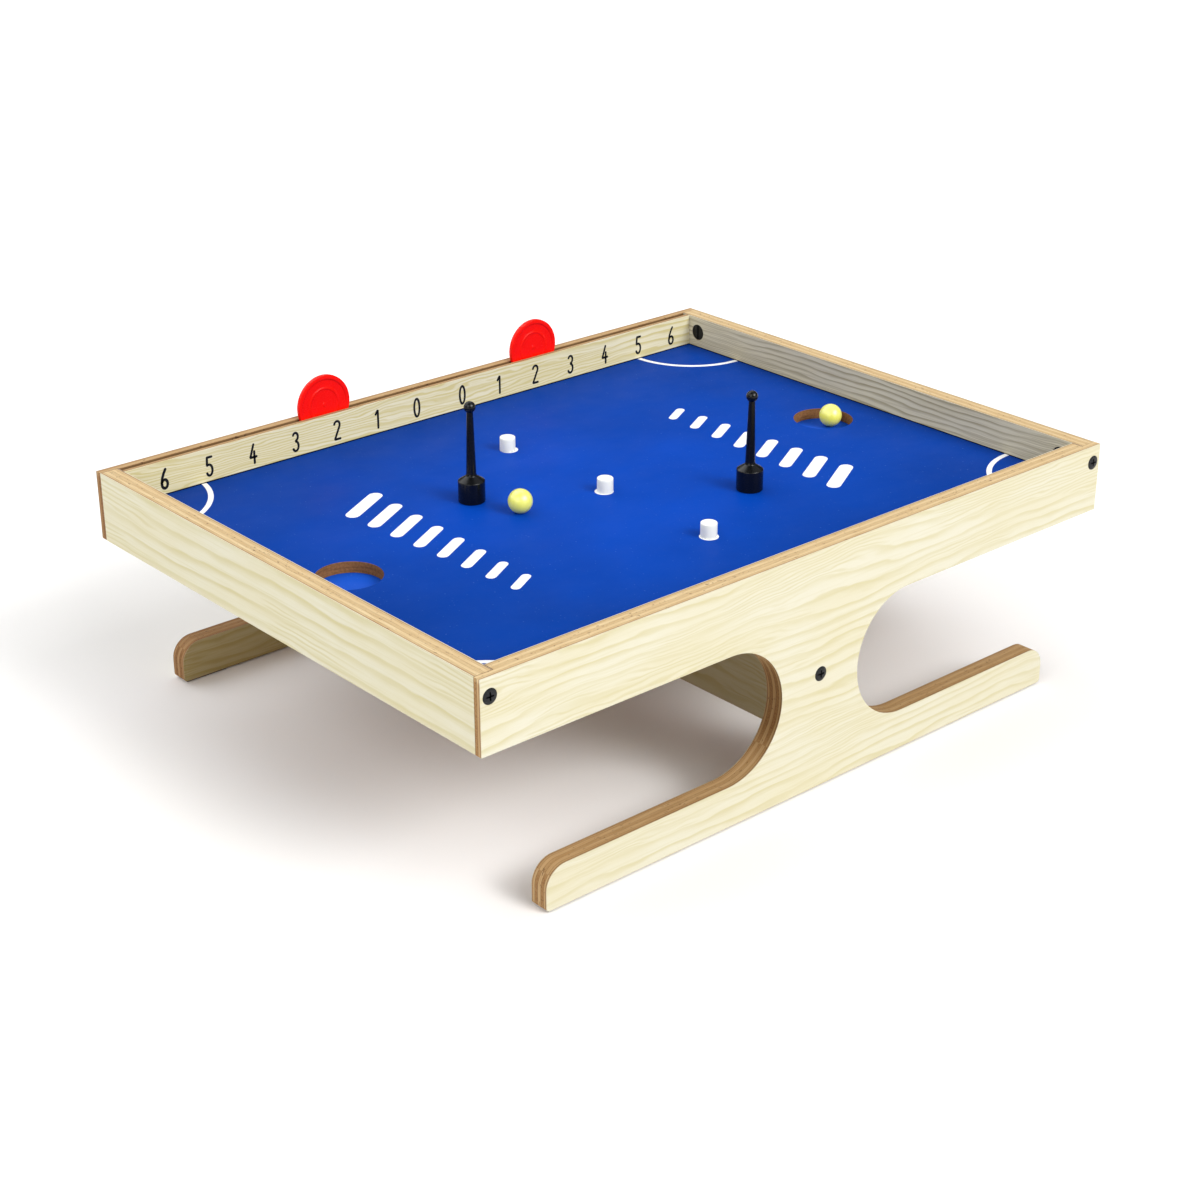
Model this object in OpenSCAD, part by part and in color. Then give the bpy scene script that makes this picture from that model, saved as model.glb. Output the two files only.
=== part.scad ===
// Magnetic tabletop strike game. A plywood tray on two side panels holds a blue playing board with a
// goal hole at each end. Each player moves a handle under the board, and its magnet carries a striker
// above it. A slot along the far rail holds two sliding score discs.
// Millimetres. The origin is the centre of the footprint on the surface that the pads rest on.
// +X runs along the table, +Y towards the rail with the score discs, +Z up.

/* [Tray] */
// Overall length of the tray
table_l = 438; // [420:1:460]
// Overall width of the tray
table_w = 330; // [315:1:345]
// Height of the side panels, without the pads
panel_h = 135; // [130:1:145]
// Thickness of the plywood
ply_t = 11; // [11:0.5:13]
// Height of the rail round the tray
rail_h = 39; // [38:1:42]
// Thickness of side panel left outside the end panels
lip_t = 4.4; // [4:0.1:5]

/* [Feet and web] */
// Length of each foot rail
foot_l = 365; // [350:1:380]
// Height of each foot rail
foot_h = 23; // [20:1:25]
// Radius of the upper corners of the foot rails
foot_corner_r = 12; // [8:1:16]
// Radius of the lower corners of the foot rails
foot_heel_r = 2; // [1:0.5:3]
// Width of the web between the cut-outs
web_w = 55; // [50:1:65]
// Length of a foot pad
pad_l = 26; // [20:1:30]
// Width of a foot pad
pad_w = 9; // [7:0.5:10]
// Thickness of a foot pad
pad_t = 1; // [1:0.5:2]

/* [Playing board] */
// Depth of the playing surface below the rim
field_drop = 19.5; // [18:0.5:20.5]
// Thickness of the playing board
board_t = 6.5; // [6:0.5:7]
// Thickness of the sheet under the board, which is the floor of the goals
sheet_t = 2.5; // [2:0.5:3]
// Depth of the grooves that hold the board and the sheet
groove_d = 4; // [3:0.5:5]
// Height of the groove above the board
groove_play = 0.4; // [0.2:0.1:0.6]
// Diameter of the goal holes
goal_d = 35; // [32:1:38]
// Distance of the goal holes from the centre
goal_x = 172; // [160:1:175]
// Height of the lower edge of the cross panel
cross_bottom_z = 28.5; // [25:0.5:40]

/* [Score rail] */
// Width of the slot for the score discs
slot_w = 3; // [3:0.1:3.4]
// Depth of the slot
slot_d = 12.2; // [10:0.1:12.4]
// Distance from the outer face of the rail to the middle of the slot
slot_inset = 6.8; // [6.5:0.1:7]
// Diameter of a score disc
disc_d = 35; // [32:1:40]
// Thickness of a score disc at its rim
disc_t = 2.6; // [2.2:0.1:2.6]
// Place of the left score disc along the slot
left_disc_x = -75.5; // [-180:0.5:-25]
// Place of the right score disc along the slot
right_disc_x = 79.5; // [25:0.5:180]

/* [Fasteners] */
// Diameter of the bolts
bolt_d = 4; // [3.5:0.5:4]
// Diameter of the bolt heads
head_d = 8; // [7.5:0.5:9]
// Length of a bolt, from the face of the panel
bolt_l = 24; // [22:1:28]
// Depth of the corner bolts below the rim
corner_bolt_drop = 9.8; // [9:0.1:12]
// Height of the web bolts above the lower edge of the panel
web_bolt_h = 65.5; // [60:0.5:75]
// Diameter of a barrel nut
nut_d = 10; // [9:0.5:11]
// Distance from the outer face of the panel to the middle of a barrel nut
nut_inset = 18.8; // [18:0.2:20]

/* [Strikers and handles] */
// Diameter of a striker's base
striker_d = 14.8; // [13.5:0.1:16]
// Height of a striker
striker_h = 57; // [50:1:60]
// Place of the left striker along the table
left_striker_x = -64.5; // [-180:0.5:-20]
// Place of the left striker across the table
left_striker_y = 36.5; // [25:0.5:130]
// Place of the right striker along the table
right_striker_x = 60.5; // [20:0.5:180]
// Place of the right striker across the table
right_striker_y = -50.5; // [-130:0.5:-30]
// Diameter of a handle's upper plate
handle_d = 26; // [24:1:30]
// Height of a handle
handle_h = 36; // [34:1:42]

/* [Balls and biscuits] */
// Diameter of a ball
ball_d = 13.5; // [12:0.5:14]
// Diameter of a biscuit
biscuit_d = 9; // [8.5:0.5:10]
// Height of a biscuit
biscuit_h = 8; // [7:0.5:9]
// Distance between the biscuits across the table
biscuit_pitch = 83.3; // [70:0.1:100]

/* [Hidden] */
$fn = 96;
// Margin by which a cutting shape passes a face
cut = 1;
// Gap between a loose piece and the surface that it stands on
stand_gap = 0.1;
// Gap between a handle and the sheet above it
glide_gap = 0.3;
// Clearance round a fitted magnet, nut or bolt
fit_gap = 0.1;

// Heights from the surface that the pads rest on
rim_z = pad_t + panel_h;
rail_bottom_z = rim_z - rail_h;
field_z = rim_z - field_drop;
goal_floor_z = field_z - board_t;
sheet_bottom_z = goal_floor_z - sheet_t;
corner_bolt_z = rim_z - corner_bolt_drop;
web_bolt_z = pad_t + web_bolt_h;

// Inner faces of the tray
inner_x = table_l / 2 - ply_t;
inner_y = table_w / 2 - ply_t;
corner_bolt_x = table_l / 2 - ply_t / 2;
end_panel_w = table_w - 2 * lip_t;
nut_y = table_w / 2 - nut_inset;

// Cut-outs between the rail and the foot rail
cut_r = (panel_h - rail_h - foot_h) / 2;
cut_x = web_w / 2 + cut_r;

// Places of the loose pieces
left_ball_pos = [-55.4, 6.2];
right_ball_pos = [goal_x + 6.8, 0.5];
left_striker_pos = [left_striker_x, left_striker_y];
right_striker_pos = [right_striker_x, right_striker_y];
biscuit_pos = [[-1.8, -biscuit_pitch], [-1.1, -0.7], [-1.5, biscuit_pitch]];
slot_y = table_w / 2 - slot_inset;

// Colours
PINE = [0.94, 0.92, 0.79];
BLUE = [0.10, 0.28, 0.70];
BRIGHT_BLUE = [0.08, 0.40, 0.86];
BLACK = [0.06, 0.06, 0.07];
RED = [0.90, 0.07, 0.05];
YELLOW = [0.90, 0.92, 0.36];
WHITE = [0.95, 0.95, 0.95];
STEEL = [0.72, 0.73, 0.75];
FELT = [0.25, 0.23, 0.21];

// ---------------------------------------------------------------- side panels

// Waste outside a rounded corner: the corner is at the origin, the body lies towards -x and -y
module corner_waste(r) {
    translate([-r, -r])
        difference() {
            square([r + cut, r + cut]);
            circle(r = r);
        }
}

// Cut-out on the +x side: round at the web and open at the end of the table
module cut_out() {
    translate([cut_x, foot_h + cut_r]) {
        circle(r = cut_r);
        translate([0, -cut_r])
            square([table_l / 2 - cut_x + cut, 2 * cut_r]);
    }
}

// Waste beyond the end of the foot rail on the +x side
module foot_end_waste() {
    translate([foot_l / 2, -cut])
        square([table_l / 2 - foot_l / 2 + cut, foot_h + cut + cut_r]);
    translate([foot_l / 2, foot_h])
        corner_waste(foot_corner_r);
    translate([foot_l / 2, 0])
        mirror([0, 1])
            corner_waste(foot_heel_r);
}

module side_outline() {
    difference() {
        translate([-table_l / 2, 0])
            square([table_l, panel_h]);
        for (side = [0, 1])
            mirror([side, 0]) {
                cut_out();
                foot_end_waste();
            }
    }
}

// Countersunk bolt hole along +y, with its mouth at the origin
module bolt_hole(depth) {
    rotate([-90, 0, 0]) {
        translate([0, 0, -cut])
            cylinder(d = bolt_d + 4 * fit_gap, h = depth + cut);
        translate([0, 0, -cut])
            cylinder(d = head_d + 2 * fit_gap, h = cut + 0.4);
        translate([0, 0, 0.4])
            cylinder(d1 = head_d + 2 * fit_gap, d2 = bolt_d + 2 * fit_gap, h = 2);
    }
}

// One side panel as it stands on the near side, with its outer face at -table_w / 2
module side_panel() {
    translate([0, -table_w / 2, pad_t])
        difference() {
            translate([0, ply_t, 0])
                rotate([90, 0, 0])
                    linear_extrude(ply_t)
                        side_outline();
            // rabbets that take the end panels
            for (side = [-1, 1])
                translate([side * (inner_x + (ply_t + cut) / 2), lip_t + ply_t / 2, panel_h - rail_h / 2])
                    cube([ply_t + cut, ply_t, rail_h + 2 * cut], center = true);
            // groove for the playing board and its sheet
            translate([-table_l / 2, ply_t - groove_d, sheet_bottom_z - pad_t])
                cube([table_l, groove_d + cut, sheet_t + board_t + groove_play]);
            // bolt holes
            for (side = [-1, 1])
                translate([side * corner_bolt_x, 0, corner_bolt_z - pad_t])
                    bolt_hole(ply_t + cut);
            translate([0, 0, web_bolt_h])
                bolt_hole(ply_t + cut);
        }
}

module near_side_panel() {
    color(PINE) side_panel();
}

module far_side_panel() {
    color(PINE)
        difference() {
            mirror([0, 1, 0]) side_panel();
            // slot for the score discs
            translate([-table_l / 2, slot_y - slot_w / 2, rim_z - slot_d])
                cube([table_l, slot_w, slot_d + cut]);
        }
}

// ----------------------------------------------------------------- end panels

// End panel on the +x side
module end_panel() {
    difference() {
        translate([inner_x, -end_panel_w / 2, rail_bottom_z])
            cube([ply_t, end_panel_w, rail_h]);
        // groove for the playing board and its sheet
        translate([inner_x - cut, -end_panel_w / 2 - cut, sheet_bottom_z])
            cube([groove_d + cut, end_panel_w + 2 * cut, sheet_t + board_t + groove_play]);
        for (side = [0, 1])
            mirror([0, side, 0]) {
                // bolt hole in the end grain
                translate([corner_bolt_x, -table_w / 2, corner_bolt_z])
                    rotate([-90, 0, 0])
                        cylinder(d = bolt_d + 4 * fit_gap, h = bolt_l + 2);
                // blind hole for the barrel nut, from the inner face
                translate([inner_x - cut, -nut_y, corner_bolt_z])
                    rotate([0, 90, 0])
                        cylinder(d = nut_d + 2 * fit_gap, h = ply_t - 1 + cut);
            }
    }
}

module left_end_panel() {
    color(PINE) mirror([1, 0, 0]) end_panel();
}

module right_end_panel() {
    color(PINE) end_panel();
}

// -------------------------------------------------- board, sheet, cross panel

// Flat sheet that reaches into the grooves, with its lower face at z
module grooved_sheet(z, thickness) {
    length = 2 * (inner_x + groove_d - fit_gap);
    width = 2 * (inner_y + groove_d - fit_gap);
    translate([-length / 2, -width / 2, z])
        cube([length, width, thickness]);
}

module playing_board() {
    color(BLUE)
        difference() {
            grooved_sheet(goal_floor_z, board_t);
            for (side = [-1, 1])
                translate([side * goal_x, 0, goal_floor_z - cut])
                    cylinder(d = goal_d, h = board_t + 2 * cut);
        }
}

module goal_floor_sheet() {
    color(BRIGHT_BLUE) grooved_sheet(sheet_bottom_z, sheet_t);
}

// Upright panel under the middle of the board: it ties the webs together and parts the two players
module cross_panel() {
    color(PINE)
        difference() {
            translate([-ply_t / 2, -inner_y, cross_bottom_z])
                cube([ply_t, 2 * inner_y, sheet_bottom_z - cross_bottom_z]);
            for (side = [0, 1])
                mirror([0, side, 0]) {
                    translate([0, -table_w / 2, web_bolt_z])
                        rotate([-90, 0, 0])
                            cylinder(d = bolt_d + 4 * fit_gap, h = bolt_l + 2);
                    translate([1 - ply_t / 2, -nut_y, web_bolt_z])
                        rotate([0, 90, 0])
                            cylinder(d = nut_d + 2 * fit_gap, h = ply_t + cut);
                }
        }
}

// ------------------------------------------------------------------ fasteners

// Countersunk bolt along +y with a raised, cross-recessed head, its seat level with the origin
module bolt() {
    head_r = head_d / 2;
    shank_r = bolt_d / 2 - fit_gap;
    dome_h = 0.5;
    recess_l = 4.4;
    recess_w = 0.9;
    color(BLACK)
        difference() {
            rotate([-90, 0, 0])
                rotate_extrude()
                    polygon([
                        [0, -dome_h], [head_r * 0.45, -dome_h * 0.85], [head_r * 0.8, -dome_h * 0.45],
                        [head_r, 0], [head_r, 0.3], [shank_r, 0.3 + head_r - shank_r],
                        [shank_r, bolt_l - 0.6], [shank_r - 0.5, bolt_l], [0, bolt_l]
                    ]);
            for (turn = [0, 90])
                rotate([0, turn, 0])
                    translate([-recess_l / 2, -dome_h - cut, -recess_w / 2])
                        cube([recess_l, cut + dome_h + 1.2, recess_w]);
        }
}

// Bolt in a side panel: side is -1 on the near side and 1 on the far side
module placed_bolt(x, side, z) {
    mirror([0, side > 0 ? 1 : 0, 0])
        translate([x, -table_w / 2, z])
            bolt();
}

// Barrel nut along +x with its slotted end at the origin; the thread is seat from that end
module barrel_nut(seat) {
    length = ply_t - 1.5;
    slot_depth = 0.8;
    color(BLACK)
        difference() {
            rotate([0, 90, 0])
                cylinder(d = nut_d, h = length);
            translate([seat, -nut_d, 0])
                rotate([-90, 0, 0])
                    cylinder(d = bolt_d, h = 2 * nut_d);
            translate([-cut, -0.6, -nut_d])
                cube([cut + slot_depth, 1.2, 2 * nut_d]);
        }
}

// Barrel nut in an end panel: end and side are -1 or 1
module corner_nut(end, side) {
    mirror([end < 0 ? 1 : 0, 0, 0])
        translate([inner_x + 0.3, side * nut_y, corner_bolt_z])
            barrel_nut(ply_t / 2 - 0.3);
}

// Barrel nut in the cross panel, let in from its right face
module web_nut(side) {
    translate([ply_t / 2 - 0.3, side * nut_y, web_bolt_z])
        mirror([1, 0, 0])
            barrel_nut(ply_t / 2 - 0.3);
}

// ------------------------------------------------------------------ foot pads

module foot_pad(end, side) {
    color(FELT)
        translate([
            end * (foot_l / 2 - foot_heel_r - pad_l / 2) - pad_l / 2,
            side * (table_w / 2 - ply_t / 2) - pad_w / 2,
            0
        ])
            cube([pad_l, pad_w, pad_t]);
}

// ---------------------------------------------------------------- score discs

// Round counter on edge: a thick rim, a thinner face, a ring and a low centre spot on each side
module score_disc(x) {
    disc_r = disc_d / 2;
    half_rim = disc_t / 2;
    half_face = half_rim - 0.5;
    half_ring = half_rim - 0.15;
    lower_z = rim_z - slot_d + 0.2;
    half_profile = [
        [0, half_face + 0.2], [1, half_face + 0.2], [1.3, half_face],
        [disc_r * 0.52, half_face], [disc_r * 0.55, half_ring], [disc_r * 0.6, half_ring],
        [disc_r * 0.63, half_face], [disc_r - 2.9, half_face], [disc_r - 2.4, half_rim],
        [disc_r - 0.4, half_rim], [disc_r, half_rim - 0.4]
    ];
    count = len(half_profile);
    color(RED)
        translate([x, slot_y, lower_z + disc_r])
            rotate([90, 0, 0])
                rotate_extrude()
                    polygon(concat(
                        half_profile,
                        [for (i = [1:count]) [half_profile[count - i][0], -half_profile[count - i][1]]]
                    ));
}

// ---------------------------------------------------- strikers and their handles

// Standing piece on the playing surface: a weighted base, a tapered stem and a ball on top
module striker(pos) {
    base_r = striker_d / 2;
    base_h = 12;
    knob_r = 3.25;
    neck_r = 1.7;
    stem_r = 2.75;
    magnet_pocket_r = 5 + fit_gap;
    magnet_pocket_h = 6.5;
    stem_top = striker_h - 2 * knob_r + 0.6;
    color(BLACK)
        translate([pos[0], pos[1], field_z + stand_gap])
            difference() {
                union() {
                    rotate_extrude()
                        polygon([
                            [0, 0], [base_r - 0.3, 0], [base_r, 0.3], [base_r, base_h - 0.3],
                            [base_r - 0.3, base_h], [stem_r + 0.3, base_h + 2.8], [stem_r, base_h + 3.4],
                            [neck_r, stem_top], [0, stem_top]
                        ]);
                    translate([0, 0, striker_h - knob_r])
                        sphere(r = knob_r);
                }
                translate([0, 0, -cut])
                    cylinder(r = magnet_pocket_r, h = magnet_pocket_h + cut);
            }
}

module striker_magnet(pos) {
    color(STEEL)
        translate([pos[0], pos[1], field_z + stand_gap + 0.3])
            cylinder(r = 5, h = 6);
}

// Knob held from below: an upper plate with a magnet, a waist and a rounded grip
module handle(pos) {
    plate_r = handle_d / 2;
    waist_r = 7.5;
    grip_r = 11.5;
    top_z = sheet_bottom_z - glide_gap;
    magnet_pocket_r = 6 + fit_gap;
    magnet_pocket_h = 5.3;
    color(BLACK)
        translate([pos[0], pos[1], top_z])
            difference() {
                rotate_extrude()
                    polygon(concat(
                        [[0, 0], [plate_r - 0.6, 0], [plate_r, -0.6], [plate_r, -3.4], [plate_r - 0.8, -4.2]],
                        [for (a = [0:15:90]) [waist_r + 4.7 * (1 - sin(a)), -4.2 - 5.3 * (1 - cos(a))]],
                        [for (a = [30:15:90]) [grip_r * sin(a), -handle_h + 11.5 + 10 * cos(a)]],
                        [for (a = [15:15:75]) [grip_r * cos(a), -handle_h + 11.5 - 11.5 * sin(a)]],
                        [[0, -handle_h]]
                    ));
                translate([0, 0, -magnet_pocket_h])
                    cylinder(r = magnet_pocket_r, h = magnet_pocket_h + cut);
            }
}

module handle_magnet(pos) {
    color(STEEL)
        translate([pos[0], pos[1], sheet_bottom_z - glide_gap - 5.2])
            cylinder(r = 6, h = 5);
}

// ----------------------------------------------------------- balls and biscuits

module ball(pos, floor_z) {
    color(YELLOW)
        translate([pos[0], pos[1], floor_z + stand_gap + ball_d / 2])
            sphere(d = ball_d);
}

// Small round cap over a magnet
module biscuit(pos) {
    cap_r = biscuit_d / 2;
    magnet_pocket_r = 3 + fit_gap;
    magnet_pocket_h = 5.4;
    color(WHITE)
        translate([pos[0], pos[1], field_z + stand_gap])
            difference() {
                rotate_extrude()
                    polygon([
                        [0, 0], [cap_r - 0.2, 0], [cap_r, 0.2], [cap_r, biscuit_h - 0.8],
                        [cap_r - 0.25, biscuit_h - 0.25], [cap_r - 0.8, biscuit_h], [0, biscuit_h]
                    ]);
                translate([0, 0, -cut])
                    cylinder(r = magnet_pocket_r, h = magnet_pocket_h + cut);
            }
}

module biscuit_magnet(pos) {
    color(STEEL)
        translate([pos[0], pos[1], field_z + stand_gap + 0.2])
            cylinder(r = 3, h = 5);
}

// --------------------------------------------------------------------- assembly

near_side_panel();
far_side_panel();
left_end_panel();
right_end_panel();
playing_board();
goal_floor_sheet();
cross_panel();
placed_bolt(-corner_bolt_x, -1, corner_bolt_z);  // near_left_bolt
placed_bolt(corner_bolt_x, -1, corner_bolt_z);  // near_right_bolt
placed_bolt(-corner_bolt_x, 1, corner_bolt_z);  // far_left_bolt
placed_bolt(corner_bolt_x, 1, corner_bolt_z);  // far_right_bolt
placed_bolt(0, -1, web_bolt_z);  // near_web_bolt
placed_bolt(0, 1, web_bolt_z);  // far_web_bolt
corner_nut(-1, -1);  // near_left_barrel_nut
corner_nut(1, -1);  // near_right_barrel_nut
corner_nut(-1, 1);  // far_left_barrel_nut
corner_nut(1, 1);  // far_right_barrel_nut
web_nut(-1);  // near_web_barrel_nut
web_nut(1);  // far_web_barrel_nut
foot_pad(-1, -1);  // near_left_foot_pad
foot_pad(1, -1);  // near_right_foot_pad
foot_pad(-1, 1);  // far_left_foot_pad
foot_pad(1, 1);  // far_right_foot_pad
score_disc(left_disc_x);  // left_score_disc
score_disc(right_disc_x);  // right_score_disc
striker(left_striker_pos);  // left_striker
striker_magnet(left_striker_pos);  // left_striker_magnet
striker(right_striker_pos);  // right_striker
striker_magnet(right_striker_pos);  // right_striker_magnet
handle(left_striker_pos);  // left_handle
handle_magnet(left_striker_pos);  // left_handle_magnet
handle(right_striker_pos);  // right_handle
handle_magnet(right_striker_pos);  // right_handle_magnet
ball(left_ball_pos, field_z);  // left_ball
ball(right_ball_pos, goal_floor_z);  // right_ball
biscuit(biscuit_pos[0]);  // near_biscuit
biscuit_magnet(biscuit_pos[0]);  // near_biscuit_magnet
biscuit(biscuit_pos[1]);  // centre_biscuit
biscuit_magnet(biscuit_pos[1]);  // centre_biscuit_magnet
biscuit(biscuit_pos[2]);  // far_biscuit
biscuit_magnet(biscuit_pos[2]);  // far_biscuit_magnet
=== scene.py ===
"""Looks of a magnetic tabletop strike game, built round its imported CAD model.

Metres, +X along the table, +Y towards the rail with the score discs, +Z up. The wooden panels, the bolts
and the handles are copies of the CAD shapes with eased edges. The playing pieces and the print are made
here.
"""
import math

import bmesh
import bpy
from mathutils import Matrix, Vector


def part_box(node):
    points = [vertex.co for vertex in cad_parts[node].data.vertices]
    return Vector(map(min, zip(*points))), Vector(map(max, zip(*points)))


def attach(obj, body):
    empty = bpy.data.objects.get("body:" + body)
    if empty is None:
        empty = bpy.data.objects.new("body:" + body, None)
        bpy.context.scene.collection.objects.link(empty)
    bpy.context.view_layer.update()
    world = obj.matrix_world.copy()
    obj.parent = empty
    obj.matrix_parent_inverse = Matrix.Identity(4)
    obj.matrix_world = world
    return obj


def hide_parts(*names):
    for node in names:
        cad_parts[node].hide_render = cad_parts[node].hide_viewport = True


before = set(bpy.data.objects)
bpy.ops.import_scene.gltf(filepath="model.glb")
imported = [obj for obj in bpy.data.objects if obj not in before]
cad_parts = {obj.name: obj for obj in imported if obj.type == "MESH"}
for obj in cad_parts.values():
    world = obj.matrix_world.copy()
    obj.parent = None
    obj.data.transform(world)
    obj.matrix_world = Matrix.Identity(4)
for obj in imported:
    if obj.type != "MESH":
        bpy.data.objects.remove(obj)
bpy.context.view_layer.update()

MM = 0.001
TABLE = "table"

# ------------------------------------------------- places from the CAD model, and the plywood's make-up

FAR_LOW, FAR_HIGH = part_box("far_side_panel")
INNER_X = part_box("right_end_panel")[0].x
INNER_Y = FAR_LOW.y
PLY_T = FAR_HIGH.y - FAR_LOW.y
RIM_Z = FAR_HIGH.z
FIELD_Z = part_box("playing_board")[1].z
JOINT_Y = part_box("left_end_panel")[1].y
RAIL_BOTTOM = 97.0
SHEET_BOTTOM = 107.0
PLIES = 5


# ----------------------------------------------------------------------------------- materials

def srgb(code):
    """Linear colour with alpha from a six-digit sRGB code."""
    parts = [int(code[i:i + 2], 16) / 255 for i in (0, 2, 4)]
    return (*[p / 12.92 if p <= 0.04045 else ((p + 0.055) / 1.055) ** 2.4 for p in parts], 1.0)


class Graph:
    """A material's node tree, with a short method for each kind of node."""

    def __init__(self, name):
        self.material = bpy.data.materials.new(name)
        self.material.use_nodes = True
        self.tree = self.material.node_tree
        self.shader = self.tree.nodes["Principled BSDF"]

    def put(self, socket, value):
        """Links an output to the socket, or sets the socket's own value."""
        if isinstance(value, bpy.types.NodeSocket):
            self.tree.links.new(value, socket)
        else:
            socket.default_value = value

    def node(self, kind, inputs, output=0, **settings):
        made = self.tree.nodes.new("ShaderNode" + kind)
        for key, value in settings.items():
            setattr(made, key, value)
        for key, value in inputs.items():
            self.put(made.inputs[key], value)
        return made.outputs[output]

    def math(self, operation, a, b=0.0):
        return self.node("Math", {0: a, 1: b}, operation=operation)

    def add(self, a, b):
        return self.math("ADD", a, b)

    def less(self, a, b):
        return self.math("SUBTRACT", a, b)

    def mul(self, a, b):
        return self.math("MULTIPLY", a, b)

    def most(self, a, b):
        return self.math("MAXIMUM", a, b)

    def least(self, a, b):
        return self.math("MINIMUM", a, b)

    def absolute(self, a):
        return self.math("ABSOLUTE", a)

    def inverse(self, a):
        """1 less the value."""
        return self.less(1.0, a)

    def place(self):
        """x, y and z on the object, in millimetres."""
        here = self.node("TexCoord", {}, "Object")
        scaled = self.node("VectorMath", {0: here, "Scale": 1.0 / MM}, operation="SCALE")
        return self.split(scaled)

    def split(self, vector):
        return [self.node("SeparateXYZ", {0: vector}, axis) for axis in "XYZ"]

    def vector(self, x, y, z=0.0):
        return self.node("CombineXYZ", {0: x, 1: y, 2: z})

    def noise(self, x, y, z=0.0, detail=2.0, roughness=0.5, warp=0.0):
        """Noise from 0 to 1 whose grains are one unit of x, y and z wide."""
        where = self.vector(x, y, z)
        return self.node("TexNoise", {
            "Vector": where, "Scale": 1.0, "Detail": detail, "Roughness": roughness, "Distortion": warp})

    def rise(self, value, low, high):
        """Smooth step from 0 at low to 1 at high."""
        return self.node("MapRange", {0: value, 1: low, 2: high}, interpolation_type="SMOOTHSTEP")

    def close_to(self, value, place, reach):
        """1 where the value is at the place, falling to 0 at this reach from it."""
        distance = self.absolute(self.less(value, place))
        return self.inverse(self.rise(distance, reach * 0.4, reach))

    def scale(self, value, low, high, to_low, to_high):
        return self.node("MapRange", {0: value, 1: low, 2: high, 3: to_low, 4: to_high})

    def mix(self, factor, a, b, blend="MIX"):
        made = self.tree.nodes.new("ShaderNodeMix")
        made.data_type = "RGBA"
        made.blend_type = blend
        for index, value in ((0, factor), (6, a), (7, b)):
            self.put(made.inputs[index], value)
        return made.outputs[2]

    def bump(self, height, depth, strength=1.0):
        """Normal from a height of 0 to 1 that stands for depth millimetres."""
        return self.node("Bump", {"Height": height, "Distance": depth * MM, "Strength": strength})

    def finish(self, **sockets):
        """Sets the shader's sockets, named with _ for spaces, and returns the material."""
        for key, value in sockets.items():
            self.put(self.shader.inputs[key.replace("_", " ")], value)
        return self.material


CREAM = srgb("D8D4C0")
CREAM_WARM = srgb("D6D0B6")
GRAIN = srgb("C6BC8C")
GRAIN_DARK = srgb("A0977A")
TAN = srgb("DFCBA2")
TAN_DEEP = srgb("BF9C69")
BROWN = srgb("865C34")
GLUE = srgb("5B3A20")
GLUE_RED = srgb("754426")
PLAIN = (1.0, 1.0, 1.0, 1.0)
BELOW_RIM_TONE = (0.76, 0.66, 0.56, 1.0)
# Painted shade for the steep edges of the cut-outs under the table.
CUTOUT_SHADE = (0.55, 0.49, 0.40, 1.0)
# Painted shade for the inner faces below the board, under the table.
PAINTED_UNDER_SHADE = (0.56, 0.49, 0.37, 1.0)
# Painted shade on the walls of the far panel's slot.
SLOT_WALL_SHADE = (0.30, 0.22, 0.16, 1.0)
BLUE = srgb("0342A7")
BLUE_DEEP = srgb("033D9B")
# Painted light in the middle of the field and painted shade towards its walls.
BLUE_PAINTED_LIGHT = (1.12, 1.06, 1.14, 1.0)
BLUE_PAINTED_SHADE = (0.75, 0.82, 0.83, 1.0)
# Painted shadow in the gap between the board and the walls.
GAP_SHADOW = srgb("05060C")
DUST_BLUE = srgb("7FA0E0")
INK_THIN = srgb("8C94A8")


def grain_rings(g, u, v, seed, pitch, flow, ripples):
    """Growth rings as a rising number, one unit to each ring, bent by broad and by fine waves."""
    sweep = g.noise(g.mul(u, 0.0045), g.mul(v, 0.018), seed, detail=1.5)
    ripple = g.noise(g.mul(u, 0.020), g.mul(v, 0.08), seed + 4.0, detail=2.5, roughness=0.55)
    return g.add(g.mul(v, 1.0 / pitch), g.add(g.mul(sweep, flow), g.mul(ripple, ripples)))


def grain_lines(g, u, v, seed, rings, late):
    """Strength of the grain: late wood in some patches, and fine close lines in the others."""
    patches = g.noise(g.mul(u, 0.009), g.mul(v, 0.035), seed + 9.0, detail=2.0)
    strength = g.scale(patches, 0.35, 0.62, 0.25, 1.0)
    close = g.math("SINE", g.mul(rings, 2.0 * math.pi * 3.0))
    crowd = g.mul(g.rise(patches, 0.54, 0.42), g.scale(close, -0.2, 1.0, 0.0, 0.9))
    return g.most(g.mul(late, strength), crowd)


def streaks_and_flecks(g, color, u, v, seed, contrast, fibre, line):
    """The colour with long soft streaks, fibres and a few short dark flecks."""
    streak = g.noise(g.mul(u, 0.010), g.mul(v, 0.60), seed + 15.0, detail=2.0, roughness=0.6)
    flecks = g.noise(g.mul(u, 0.35), g.mul(v, 5.0), seed + 12.0, detail=1.0)
    color = g.mix(g.mul(g.rise(streak, 0.50, 0.72), 0.35 * contrast), color, line)
    color = g.mix(g.scale(fibre, 0.35, 0.75, 0.0, 0.20), color, line)
    return g.mix(g.mul(g.rise(flecks, 0.70, 0.78), 0.25), color, TAN_DEEP)


def painted_shade_below_board(g, color, y, z):
    """The colour with painted shade: darker on a side panel's inner side below the board, where the table's
    shade falls.
    """
    inner = g.inverse(g.rise(g.absolute(y), INNER_Y / MM + 1.0, INNER_Y / MM + 3.0))
    below = g.inverse(g.rise(z, RAIL_BOTTOM, SHEET_BOTTOM))
    return g.mix(g.mul(inner, below), color, PAINTED_UNDER_SHADE, "MULTIPLY")


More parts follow.
